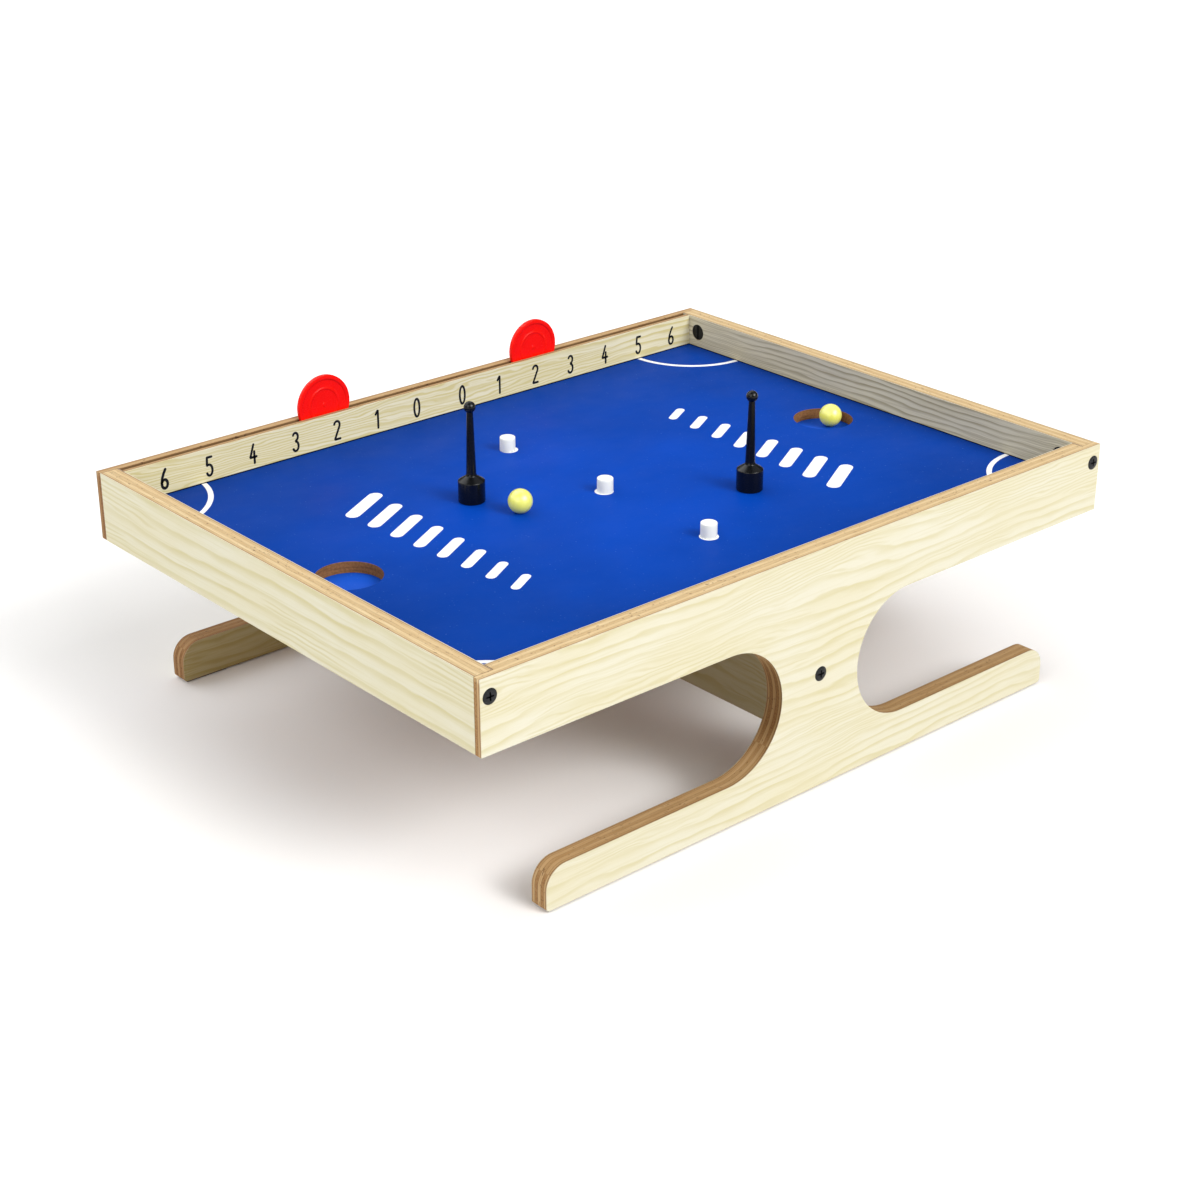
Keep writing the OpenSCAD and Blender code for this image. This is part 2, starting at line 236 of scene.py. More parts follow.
def veneer(name, along, seed, pitch=6.0, flow=5.0, ripples=1.9, contrast=1.0, tint=PLAIN, line=GRAIN,
           shaded=False):
    """Pale pine veneer with soft flame grain that runs along X or Y, and patches of fine close lines.

    A veneer can take painted shade: darker on its inner side below the board, where the table's shade falls.
    """
    g = Graph(name)
    x, y, z = g.place()
    u = g.add(x if along == "x" else y, seed * 137.0)
    v = g.add(z, seed * 31.0)
    rings = grain_rings(g, u, v, seed, pitch, flow, ripples)
    phase = g.math("FRACT", rings)
    late = g.mul(g.rise(phase, 0.38, 0.88), g.inverse(g.rise(phase, 0.88, 1.0)))
    fibre = g.noise(g.mul(u, 0.07), g.mul(v, 3.0), seed + 2.0, detail=3.0, roughness=0.65)
    broad = g.noise(g.mul(u, 0.012), g.mul(v, 0.05), seed + 6.0)
    base = g.mix(g.rise(broad, 0.35, 0.65), CREAM, CREAM_WARM)
    lines = grain_lines(g, u, v, seed, rings, late)
    color = g.mix(g.mul(lines, contrast * 0.95), base, line)
    color = streaks_and_flecks(g, color, u, v, seed, contrast, fibre, line)
    color = g.mix(1.0, color, tint, "MULTIPLY")
    if shaded:
        color = painted_shade_below_board(g, color, y, z)
    height = g.add(g.mul(fibre, 0.6), g.mul(late, 0.4))
    return g.finish(
        Base_Color=color, Roughness=g.scale(fibre, 0.3, 0.7, 0.42, 0.56), Specular_IOR_Level=0.35,
        Normal=g.bump(height, 0.05, 0.35))


def ply_layers(g, depth, wave, seed):
    """The number of the ply at this depth, a random value for it, and how near its glue lines are."""
    bent = g.add(depth, g.scale(wave, 0.0, 1.0, -0.45, 0.45))
    layer = g.mul(bent, PLIES * MM / PLY_T)
    index = g.math("FLOOR", layer)
    inside = g.math("FRACT", layer)
    lone = g.node("TexWhiteNoise", {"W": g.add(index, seed * 7.0)}, "Value", noise_dimensions="1D")
    glue = g.most(g.inverse(g.rise(inside, 0.0, 0.10)), g.rise(inside, 0.90, 1.0))
    return index, lone, glue


def core_gaps(g, u, z, depth):
    """Gaps in the core, which show as dark specks drawn out along the edge."""
    pores = g.noise(g.mul(u, 0.40), g.mul(z, 0.40), g.mul(depth, 1.1), detail=1.0)
    core = g.absolute(g.less(depth, PLY_T / MM / 2))
    return g.rise(pores, g.scale(core, 0.5, 4.0, 0.66, 0.74), g.scale(core, 0.5, 4.0, 0.72, 0.79))


def face_skins(g, color, depth, patches):
    """The colour with the pale face veneers and the dark glue line under each."""
    thick = PLY_T / MM
    skin = g.most(g.inverse(g.rise(depth, 0.40, 0.52)), g.rise(depth, thick - 0.52, thick - 0.40))
    color = g.mix(g.mul(skin, 0.85), color, CREAM_WARM)
    near_face = g.least(depth, g.less(thick, depth))
    line = g.mul(g.rise(near_face, 0.42, 0.58), g.inverse(g.rise(near_face, 0.72, 1.10)))
    return g.mix(g.mul(line, g.scale(patches, 0.3, 0.7, 0.55, 0.95)), color, GLUE_RED)


def lower_edge_tone_and_cutout_shade(g, color, x, z, steep):
    """The colour, browner on the edges below the rim top, and darker with painted shade on the steep edges
    of the cut-outs, which lie in the table's shade.
    """
    below_rim = g.inverse(g.rise(z, RIM_Z / MM - 3.0, RIM_Z / MM - 1.0))
    color = g.mix(below_rim, color, BELOW_RIM_TONE, "MULTIPLY")
    # Painted shade: the steep edges inside the cut-outs, under the table, are darkened further.
    cutout_shade_mask = g.mul(g.inverse(g.rise(g.absolute(x), 95.0, 150.0)), below_rim)
    return g.mix(g.mul(cutout_shade_mask, steep), color, CUTOUT_SHADE, "MULTIPLY")


def joint_gaps(g, color, x, y, patches):
    """The colour with a dark gap at the corner joints, where the end panels are let into the sides."""
    far_x = g.absolute(x)
    far_y = g.absolute(y)
    step = g.mul(g.close_to(far_x, INNER_X / MM, 0.45), g.rise(far_y, INNER_Y / MM, INNER_Y / MM + 0.3))
    step = g.mul(step, g.math("LESS_THAN", far_y, JOINT_Y / MM))
    butt = g.mul(g.close_to(far_y, JOINT_Y / MM, 0.35), g.math("GREATER_THAN", far_x, INNER_X / MM))
    gap = g.most(step, g.mul(butt, g.scale(patches, 0.35, 0.65, 0.2, 0.9)))
    return g.mix(g.mul(gap, 0.85), color, GLUE)


def ply_edge(name, along, across, start, seed, tint=PLAIN):
    """Cut edge of plywood. Across is the axis through the plies, and start is where the first face lies."""
    g = Graph(name)
    x, y, z = g.place()
    u = g.add(x if along == "x" else y, seed * 53.0)
    side = x if across == "x" else y
    depth = g.less(g.absolute(side) if start > 0 else side, start / MM)
    wave = g.noise(g.mul(u, 0.05), g.mul(z, 0.05), seed, detail=2.0)
    patches = g.noise(g.mul(u, 0.03), g.mul(z, 0.03), seed + 5.0)
    long_grain = g.noise(g.mul(u, 0.06), g.mul(z, 0.06), g.mul(depth, 1.7), detail=3.0, roughness=0.6)
    end_grain = g.noise(g.mul(u, 1.1), g.mul(z, 1.1), g.mul(depth, 1.5), detail=2.0, roughness=0.7)
    normal = g.split(g.node("TexCoord", {}, "Normal"))
    upright = g.rise(g.absolute(normal[2]), 0.35, 0.95)
    steep = g.inverse(upright)
    index, lone, glue = ply_layers(g, depth, wave, seed)
    # The plies that show end grain are darker: every second one on a level edge, the others on an end.
    odd = g.math("MODULO", g.absolute(index), 2.0)
    shows_end = g.absolute(g.less(odd, g.math("GREATER_THAN", upright, 0.5)))
    light = g.mix(g.scale(long_grain, 0.3, 0.7, 0.0, 0.75), TAN, TAN_DEEP)
    dark = g.mix(g.scale(end_grain, 0.3, 0.7, 0.0, 1.0), TAN_DEEP, BROWN)
    color = g.mix(g.mul(shows_end, g.add(g.mul(steep, 0.55), 0.36)), light, dark)
    color = g.mix(g.mul(lone, 0.25), color, TAN_DEEP)
    glue_depth = g.mul(g.add(g.mul(steep, 0.4), 0.6), g.scale(patches, 0.3, 0.7, 0.20, 0.90))
    color = g.mix(g.mul(glue, glue_depth), color, GLUE)
    holes = core_gaps(g, u, z, depth)
    color = g.mix(g.mul(holes, 0.7), color, GLUE)
    color = face_skins(g, color, depth, patches)
    color = lower_edge_tone_and_cutout_shade(g, color, x, z, steep)
    color = g.mix(1.0, color, tint, "MULTIPLY")
    color = joint_gaps(g, color, x, y, patches)
    height = g.less(g.add(g.mul(end_grain, 0.5), g.mul(long_grain, 0.5)), holes)
    return g.finish(
        Base_Color=color, Roughness=0.68, Specular_IOR_Level=0.25, Normal=g.bump(height, 0.18, 0.5))


def board_paint(name, color, deep, roughness=0.5):
    """Satin print on a flat board: orange peel, dust specks, painted light in the middle, and painted shade
    towards the walls and in the gap at them.
    """
    g = Graph(name)
    x, y, z = g.place()
    cloud = g.noise(g.mul(x, 0.012), g.mul(y, 0.012), 3.0, detail=3.0)
    tone = g.mix(g.rise(cloud, 0.3, 0.7), color, deep)
    # Painted light and shade: the blue is lighter in the middle of the field and darker towards the walls.
    off_x = g.math("DIVIDE", g.absolute(x), INNER_X / MM)
    off_y = g.math("DIVIDE", g.absolute(y), INNER_Y / MM)
    outward = g.rise(g.math("SQRT", g.add(g.mul(off_x, off_x), g.mul(off_y, off_y))), 0.25, 1.05)
    middle = g.mix(1.0, tone, BLUE_PAINTED_LIGHT, "MULTIPLY")
    rim = g.mix(1.0, tone, BLUE_PAINTED_SHADE, "MULTIPLY")
    tone = g.mix(outward, middle, rim)
    # Painted shadow: a near-black line along the walls, where the gap beside the board lies in shade.
    wall_x = g.rise(g.absolute(x), INNER_X / MM - 0.9, INNER_X / MM - 0.3)
    wall_y = g.rise(g.absolute(y), INNER_Y / MM - 0.9, INNER_Y / MM - 0.3)
    wall = g.most(wall_x, wall_y)
    tone = g.mix(g.mul(wall, 0.9), tone, GAP_SHADOW)
    dust = g.noise(g.mul(x, 0.9), g.mul(y, 0.9), 8.0, detail=0.0)
    tone = g.mix(g.mul(g.rise(dust, 0.80, 0.84), 0.22), tone, DUST_BLUE)
    peel = g.noise(g.mul(x, 1.4), g.mul(y, 1.4), g.mul(z, 1.4), detail=2.0)
    scuffs = g.noise(g.mul(x, 0.03), g.mul(y, 0.04), 5.0, detail=4.0, roughness=0.6)
    return g.finish(
        Base_Color=tone, Roughness=g.scale(scuffs, 0.35, 0.65, roughness - 0.06, roughness + 0.06),
        Specular_IOR_Level=0.03, Normal=g.bump(peel, 0.02, 0.25))


def fibreboard(name, light, dark):
    """Brown pressed fibre, as on the walls of the goal holes and under the board."""
    g = Graph(name)
    x, y, z = g.place()
    fluff = g.noise(g.mul(x, 0.9), g.mul(y, 0.9), g.mul(z, 0.9), detail=4.0, roughness=0.7)
    bands = g.noise(g.mul(x, 0.05), g.mul(y, 0.05), g.mul(z, 0.8), detail=2.0)
    tone = g.mix(g.scale(fluff, 0.3, 0.7, 0.0, 0.7), light, dark)
    tone = g.mix(g.mul(g.rise(bands, 0.45, 0.7), 0.4), tone, dark)
    return g.finish(Base_Color=tone, Roughness=0.8, Specular_IOR_Level=0.2, Normal=g.bump(fluff, 0.15, 0.5))


def moulded(name, color, roughness, shade, mottle=0.15, grain=0.02, specular=0.5, glow=0.0, gloss=0.0):
    """Moulded plastic with a faint mottle and a fine skin. Glow is how far light spreads inside, in mm."""
    g = Graph(name)
    x, y, z = g.place()
    cloud = g.noise(g.mul(x, 0.16), g.mul(y, 0.16), g.mul(z, 0.16), detail=3.0)
    skin = g.noise(g.mul(x, 2.5), g.mul(y, 2.5), g.mul(z, 2.5), detail=2.0)
    tone = g.mix(g.scale(cloud, 0.3, 0.7, 0.0, mottle), color, shade)
    if gloss:
        g.finish(Coat_Weight=gloss, Coat_Roughness=0.35)
    if glow:
        g.finish(Subsurface_Weight=0.8, Subsurface_Radius=(1.0, 1.0, 1.0), Subsurface_Scale=glow * MM)
    return g.finish(
        Base_Color=tone, Roughness=g.scale(skin, 0.3, 0.7, roughness - 0.04, roughness + 0.05),
        Specular_IOR_Level=specular, Normal=g.bump(skin, grain, 0.35))


def metal(name, color, roughness, metallic, worn):
    """Steel finish with brushed micro-scratches and slightly rubbed patches."""
    g = Graph(name)
    x, y, z = g.place()
    rub = g.noise(g.mul(x, 0.5), g.mul(y, 0.5), g.mul(z, 0.5), detail=3.0, roughness=0.7)
    hair = g.noise(g.mul(x, 4.0), g.mul(y, 4.0), g.mul(z, 0.8), detail=2.0)
    tone = g.mix(g.mul(g.rise(rub, 0.55, 0.75), 0.5), color, worn)
    return g.finish(
        Base_Color=tone, Metallic=metallic, Normal=g.bump(hair, 0.02, 0.3),
        Roughness=g.scale(hair, 0.3, 0.7, roughness - 0.06, roughness + 0.08))


def felt(name):
    """Dark felt of the foot pads: matted short fibres."""
    g = Graph(name)
    x, y, z = g.place()
    mat = g.noise(g.mul(x, 1.6), g.mul(y, 1.6), g.mul(z, 1.6), detail=4.0, roughness=0.8, warp=1.5)
    tone = g.mix(g.rise(mat, 0.35, 0.7), srgb("3C3732"), srgb("5A534B"))
    return g.finish(
        Base_Color=tone, Roughness=0.95, Specular_IOR_Level=0.1, Sheen_Weight=0.25,
        Normal=g.bump(mat, 0.25, 0.8))


def printed(name, color, roughness=0.55, uneven=0.08):
    """Screen-printed ink: a slightly uneven coat."""
    g = Graph(name)
    x, y, z = g.place()
    coat = g.noise(g.mul(x, 0.8), g.mul(y, 0.8), g.mul(z, 0.8), detail=3.0)
    tone = g.mix(g.scale(coat, 0.3, 0.7, 0.0, uneven), color, INK_THIN)
    return g.finish(
        Base_Color=tone, Roughness=roughness, Specular_IOR_Level=0.25, Normal=g.bump(coat, 0.01, 0.2))


# ------------------------------------------------------------------------------ mesh and pieces

def mesh_piece(name, vertices, faces, smooth_below=40):
    """Object from points and faces. Edges below the angle shade smooth."""
    mesh = bpy.data.meshes.new(name)
    mesh.from_pydata([tuple(v) for v in vertices], [], faces)
    mesh.validate()
    mesh.shade_smooth()
    mesh.set_sharp_from_angle(angle=math.radians(smooth_below))
    made = bpy.data.objects.new(name, mesh)
    bpy.context.scene.collection.objects.link(made)
    return made


def set_up(piece, body, materials, pick=None, replaces=()):
    """Gives the piece its materials and its body, and hides the CAD nodes that it stands for."""
    for material in materials:
        piece.data.materials.append(material)
    if pick is not None:
        for face in piece.data.polygons:
            face.material_index = pick(face)
    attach(piece, body)
    if replaces:
        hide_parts(*replaces)
    return piece


def ease_edges(piece, width, segments=2, angle=32):
    """Small rounded bevel on every edge sharper than the angle."""
    bevel = piece.modifiers.new("eased_edges", "BEVEL")
    bevel.width = width * MM
    bevel.segments = segments
    bevel.limit_method = "ANGLE"
    bevel.angle_limit = math.radians(angle)
    bevel.harden_normals = True
    return piece


def cad_copy(node, name, bevel):
    """Copy of a CAD node's shape as a new piece: its triangles merged into faces and its edges eased."""
    bm = bmesh.new()
    bm.from_mesh(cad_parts[node].data)
    bmesh.ops.remove_doubles(bm, verts=bm.verts, dist=1e-6)
    bmesh.ops.dissolve_limit(bm, angle_limit=math.radians(0.5), verts=bm.verts, edges=bm.edges)
    bm.verts.index_update()
    points = [v.co.copy() for v in bm.verts]
    faces = [[v.index for v in f.verts] for f in bm.faces]
    bm.free()
    return ease_edges(mesh_piece(name, points, faces), bevel)


def filleted(corners, steps=5):
    """Outline through (x, y, radius) corners, each corner rounded by its own radius."""
    outline = [Vector(corners[0][:2])]
    for before, corner, after in zip(corners, corners[1:], corners[2:]):
        here = Vector(corner[:2])
        back, ahead = Vector(before[:2]) - here, Vector(after[:2]) - here
        if corner[2] <= 0:
            outline.append(here)
            continue
        reach = corner[2] / math.tan(back.angle(ahead) / 2)
        reach = min(reach, 0.49 * back.length, 0.49 * ahead.length)
        first, last = here + back.normalized() * reach, here + ahead.normalized() * reach
        for step in range(steps + 1):
            t = step / steps
            outline.append(first * (1 - t) ** 2 + here * 2 * t * (1 - t) + last * t ** 2)
    outline.append(Vector(corners[-1][:2]))
    return outline


def lathe(name, outline, turn=Matrix.Identity(4), segments=72, smooth_below=40):
    """Solid of revolution about Z from (radius, height) points in millimetres, then turned and moved."""
    vertices, faces, rings = [], [], []
    for radius, height in outline:
        if radius < 1e-6:
            vertices.append(Vector((0, 0, height)))
            rings.append([len(vertices) - 1] * segments)
            continue
        rings.append(list(range(len(vertices), len(vertices) + segments)))
        for k in range(segments):
            angle = 2 * math.pi * k / segments
            vertices.append(Vector((radius * math.cos(angle), radius * math.sin(angle), height)))
    for low, high in zip(rings, rings[1:]):
        for k in range(segments):
            following = (k + 1) % segments
            corners = [low[k], low[following], high[following], high[k]]
            faces.append([c for i, c in enumerate(corners) if c not in corners[:i]])
    placed = [turn @ (v * MM) for v in vertices]
    return mesh_piece(name, placed, [f for f in faces if len(f) > 2], smooth_below)


def plate(shapes, to_space):
    """Points and faces of thin plates. Each shape is (left points, right points, closed) along a band."""
    vertices, faces = [], []
    for left, right, closed in shapes:
        count = len(left)
        start = len(vertices)
        for level in (0, 1):
            vertices += [to_space(p, level) for p in left] + [to_space(p, level) for p in right]
        low_left, low_right = start, start + count
        high_left, high_right = start + 2 * count, start + 3 * count
        for k in range(count if closed else count - 1):
            n = (k + 1) % count
            faces.append([high_left + k, high_right + k, high_right + n, high_left + n])
            faces.append([low_left + k, low_left + n, low_right + n, low_right + k])
            faces.append([low_left + k, high_left + k, high_left + n, low_left + n])
            faces.append([low_right + k, low_right + n, high_right + n, high_right + k])
        if not closed:
            faces.append([low_left, low_right, high_right, high_left])
            last = count - 1
            faces.append([low_left + last, high_left + last, high_right + last, low_right + last])
    return vertices, faces


def band(path, width, closed=False, round_ends=True):
    """Left and right points of a stroke of this width along a path, with round ends."""
    left, right = [], []
    count = len(path)
    for k, point in enumerate(path):
        before = path[(k - 1) % count] if closed or k else path[k]
        after = path[(k + 1) % count] if closed or k < count - 1 else path[k]
        along = (after - before).normalized()
        out = Vector((-along.y, along.x)) * width / 2
        left.append(point + out)
        right.append(point - out)
    if closed or not round_ends:
        return left, right, closed
    for end, inward in ((0, path[0] - path[1]), (-1, path[-1] - path[-2])):
        ahead = inward.normalized() * width / 2
        side = Vector((-ahead.y, ahead.x)) * (1 if end else -1)
        caps = []
        for step in (1, 2, 3):
            angle = math.radians(90 - 28 * step)
            caps.append((path[end] + ahead * math.cos(angle), side * math.sin(angle)))
        for centre, offset in caps:
            place = 0 if end == 0 else len(left)
            left.insert(place, centre + offset)
            right.insert(place, centre - offset)
    return left, right, closed


def arc(centre, radius, start, end, steps=12, squash=1.0):
    """Points on an arc, angles in degrees. Squash scales its height."""
    points = []
    for step in range(steps + 1):
        angle = math.radians(start + (end - start) * step / steps)
        points.append(Vector((centre[0] + radius * math.cos(angle),
                              centre[1] + radius * squash * math.sin(angle))))
    return points


# ----------------------------------------------------------------------------- wooden panels

EDGE_EASE = 0.35


def panel(node, along, across, start, seed, tint=PLAIN, edge_tint=PLAIN, slot_shade=PLAIN, **grain):
    """A plywood panel: veneer on its two faces, plies on its cut edges, and slot walls that can be darkened
    with painted shade.
    """
    faces = veneer(node + "_veneer", along, seed, tint=tint, **grain)
    edges = ply_edge(node + "_plies", along, across, start, seed, tint=edge_tint)
    walls = ply_edge(node + "_slot_walls", along, across, start, seed, tint=slot_shade)
    axis = "xyz".index(across)
    low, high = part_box(node)

    def pick(face):
        if abs(face.normal[axis]) < 0.99:
            return 1
        inset = min(face.center[axis] - low[axis], high[axis] - face.center[axis])
        return 0 if inset < 0.2 * MM else 2

    made = cad_copy(node, node + "_wood", EDGE_EASE)
    return set_up(made, TABLE, [faces, edges, walls], pick, [node])


def build_panels():
    # The near panel's darker tint is painted shade and the far panel's lighter tint is painted light.
    panel("near_side_panel", "x", "y", INNER_Y, 1.0, pitch=6.5, flow=5.0, ripples=1.5, contrast=0.72,
          tint=(0.925, 0.925, 0.94, 1.0), shaded=True)
    panel("far_side_panel", "x", "y", INNER_Y, 2.3, pitch=6.0, flow=5.0, contrast=1.5,
          tint=(1.19, 1.15, 1.01, 1.0), edge_tint=(0.76, 0.66, 0.58, 1.0), slot_shade=SLOT_WALL_SHADE, shaded=True)
    panel("left_end_panel", "y", "x", INNER_X, 3.1, pitch=10.0, flow=2.4, ripples=0.8, contrast=0.9,
          tint=(1.02, 1.02, 1.01, 1.0))
    panel("right_end_panel", "y", "x", INNER_X, 4.2, pitch=3.8, flow=8.0, contrast=1.0, line=GRAIN_DARK,
          tint=(1.10, 1.06, 0.96, 1.0))
    panel("cross_panel", "y", "x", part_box("cross_panel")[0].x, 5.4, pitch=8.0, flow=4.0, shaded=True)


# ------------------------------------------------------------------------ board and its print

INK_LIFT = 0.035
INK_SINK = 0.02
LINE_W = 3.0
# Side of the table in x and y: how far inside the corner the arc's centre lies, and its outer radius.
CORNER_ARCS = {
    (-1, 1): (-4.6, -9.8, 55.0), (-1, -1): (-1.4, -1.4, 45.5),
    (1, 1): (0.0, 0.0, 45.5), (1, -1): (0.0, 0.0, 45.5)}
SPOT_D = 10.5
BISCUIT_SPOTS = ((-1.8, -83.5), (-1.6, -0.4), (-0.7, 83.1))


def on_field(point, level):
    """A point of the print on the board: level 0 is just inside the board, level 1 just above it."""
    return Vector((point.x * MM, point.y * MM, FIELD_Z + (INK_LIFT if level else -INK_SINK) * MM))


def ink(name, shapes, to_space, material):
    vertices, faces = plate(shapes, to_space)
    return set_up(mesh_piece(name, vertices, faces), TABLE, [material])


def build_board():
    blue = board_paint("board_blue", BLUE, BLUE_DEEP)
    fibre = fibreboard("board_fibre", srgb("A07044"), srgb("52331C"))
    board = cad_copy("playing_board", "playing_board_painted", 0.3)
    set_up(board, TABLE, [blue, fibre], lambda f: 0 if f.normal.z > 0.9 else 1,
           ["playing_board"])
    bright = board_paint("goal_floor_blue", srgb("1A5AD0"), srgb("1853C4"), roughness=0.35)
    sheet = cad_copy("goal_floor_sheet", "goal_floor_sheet_painted", 0.2)
    set_up(sheet, TABLE, [bright, fibre], lambda f: 0 if f.normal.z > 0.9 else 1,
           ["goal_floor_sheet"])


def corner_arc(sx, sy):
    """Path of the arc in one corner of the board, from wall to wall. The print is slightly off."""
    inset_x, inset_y, outer_radius = CORNER_ARCS[sx, sy]
    radius = outer_radius - LINE_W / 2
    first = -math.degrees(math.asin(inset_y / radius)) + 0.3
    last = 90 + math.degrees(math.asin(inset_x / radius)) - 0.3
    inward = arc((inset_x, inset_y), radius, first, last, 32)
    path = [Vector((sx * (INNER_X / MM - p.x), sy * (INNER_Y / MM - p.y))) for p in inward]
    return path if sx == sy else path[::-1]


def build_field_print():
    white = printed("white_ink", srgb("F4F5F8"))
    corners = [band(corner_arc(sx, sy), LINE_W, round_ends=False) for sx, sy in CORNER_ARCS]
    ink("corner_arcs", corners, on_field, white)
    spots = [band(arc(at, SPOT_D / 4, 0, 360, 48)[:-1], SPOT_D / 2, True) for at in BISCUIT_SPOTS]
    ink("biscuit_spots", spots, on_field, white)
    build_motif("left_field_bars", 1, white)
    build_motif("right_field_bars", -1, white)


BAR_COUNT = 8
BAR_PITCH = 19.0
BAR_W = 8.0
BAR_REACH = 12.5
BAR_LEAN = 7.0
BAR_SHRINK = 0.9
FIRST_BAR = (-112.0, 70.0)


def build_motif(name, turn, material):
    """Row of slanted bars across one half of the field, in place of lettering. Turn is 1 or -1."""
    bars = []
    for k in range(BAR_COUNT):
        reach = BAR_REACH - BAR_SHRINK * k
        half = Vector((reach, BAR_LEAN * reach / BAR_REACH))
        middle = Vector((FIRST_BAR[0], FIRST_BAR[1] - BAR_PITCH * k))
        first = middle - half
        last = middle + half
        path = [first.lerp(last, t / 4) * turn for t in range(5)]
        bars.append(band(path, BAR_W * (1 - 0.05 * k)))
    ink(name, bars, on_field, material)


# -------------------------------------------------------------------------- score rail digits

DIGIT_H = 11.0
DIGIT_STROKE = 1.45
BOLD_SIX = 1.15
DIGIT_SQUEEZE = 0.86
DIGIT_DROP = 10.5
DIGIT_CENTRE_X = 3.6
FIRST_DIGITS = {-1: 16.3, 1: 17.7}
DIGIT_PITCHES = {-1: 28.6, 1: 28.4}


def glyph(digit):
    """Strokes of a tall, thin digit in a box 1 high, centred on the origin. Each is (points, closed)."""
    w = 0.20
    if digit == 0:
        return [(arc((0, 0), w, 0, 360, 32, 0.5 / w)[:-1], True)]
    if digit == 1:
        return [(filleted([(-0.13, 0.27, 0), (0.04, 0.49, 0.02), (0.04, -0.5, 0)], 3), False)]
    if digit == 2:
        top = arc((0, 0.5 - w), w, 165, -20, 12)
        return [(top + filleted([(0.17, 0.18, 0), (-0.19, -0.49, 0.03), (0.21, -0.49, 0)], 3), False)]
    if digit == 3:
        upper = arc((-0.01, 0.28), 0.18, 150, -80, 12, 1.2)
        lower = arc((-0.01, -0.235), 0.20, 80, -150, 12, 1.3)
        return [(upper, False), (lower, False)]
    if digit == 4:
        slope = filleted([(0.05, 0.5, 0), (-0.21, -0.17, 0.02), (0.22, -0.17, 0)], 3)
        return [(slope, False), ([Vector((0.08, 0.12)), Vector((0.08, -0.5))], False)]
    if digit == 5:
        head = filleted([(0.17, 0.49, 0), (-0.13, 0.49, 0.02), (-0.16, 0.06, 0.02), (-0.06, 0.1, 0)], 3)
        return [(head + arc((-0.01, -0.2), 0.2, 95, -150, 14, 1.45), False)]
    stem = [Vector((0.10, 0.5)), Vector((-0.03, 0.30)), Vector((-0.14, 0.06)), Vector((-0.19, -0.18))]
    return [(stem + arc((0, -0.26), 0.19, 180, 520, 24, 1.2), False)]


def on_rail(point, level):
    """A point of the print on the inner face of the far panel: x along the rail, y up."""
    lift = INK_LIFT if level else -INK_SINK
    return Vector((point.x * MM, INNER_Y - lift * MM, point.y * MM))


def build_digits():
    black = printed("black_ink", srgb("08090B"), uneven=0.02)
    row_z = RIM_Z / MM - DIGIT_DROP
    for side, word in ((-1, "left"), (1, "right")):
        strokes = []
        for digit in range(7):
            x = DIGIT_CENTRE_X + side * (FIRST_DIGITS[side] + DIGIT_PITCHES[side] * digit)
            heavy = BOLD_SIX if (side, digit) == (-1, 6) else 1.0
            for points, closed in glyph(digit):
                path = [Vector((x + p.x * DIGIT_H * DIGIT_SQUEEZE, row_z + p.y * DIGIT_H)) for p in points]
                strokes.append(band(path, DIGIT_STROKE * heavy, closed))
        ink(word + "_score_digits", strokes, on_rail, black)


# ------------------------------------------------------------------------------------ hardware

def build_hardware():
    black_steel = metal("black_oxide_steel", srgb("1D1E20"), 0.38, 0.6, srgb("4A4B4E"))
    names = [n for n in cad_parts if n.endswith("_bolt") or n.endswith("_barrel_nut")]
    for node in sorted(names):
        set_up(cad_copy(node, node + "_steel", 0.12), TABLE, [black_steel], None, [node])
    pad_felt = felt("foot_felt")
    for node in sorted(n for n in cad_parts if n.endswith("_foot_pad")):
        set_up(cad_copy(node, node + "_felt", 0.3), TABLE, [pad_felt], None, [node])
    plating = metal("nickel_plating", srgb("C9CACC"), 0.22, 1.0, srgb("A9AAAE"))
    for node in sorted(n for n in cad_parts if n.endswith("_magnet")):
        body = node[:-len("_magnet")]
        set_up(cad_copy(node, node + "_plated", 0.2), body, [plating], None, [node])


# ------------------------------------------------------------------------------ playing pieces

def build_discs():
    """Red counters on edge: a raised rim, a thinner face with a ring, and a small centre mark."""
    red = moulded("red_plastic", srgb("FF1404"), 0.25, srgb("F01003"), 0.3, specular=0.16)
    for body in ("left_score_disc", "right_score_disc"):
        low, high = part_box(body)
        radius, half = (high.x - low.x) / 2 / MM, (high.y - low.y) / 2 / MM
        face = half - 0.5
        side = [
            (0, face + 0.22, 0), (0.9, face + 0.22, 0.2), (1.3, face, 0.2),
            (radius * 0.50, face, 0.3), (radius * 0.53, face + 0.28, 0.25),
            (radius * 0.57, face + 0.28, 0.25), (radius * 0.60, face, 0.3),
            (radius - 2.9, face, 0.5), (radius - 2.3, half, 0.5),
            (radius, half, 0.7), (radius, 0, 0)]
        upper = filleted(side, 4)
        outline = upper + [Vector((p.x, -p.y)) for p in reversed(upper[:-1])]
        turn = Matrix.Translation((low + high) / 2) @ Matrix.Rotation(math.pi / 2, 4, "X")
        disc = lathe(body + "_moulded", reversed_outline(outline), turn, 128)
        set_up(disc, body, [red], None, [body])


def reversed_outline(outline):
    """The same outline from its lower end, so that the faces look outwards."""
    return [(p.x, p.y) for p in reversed(outline)]


KNOB_R = 3.25
NECK_R = 1.75
STEM_R = 2.75
POCKET_R = 5.1
POCKET_H = 6.5


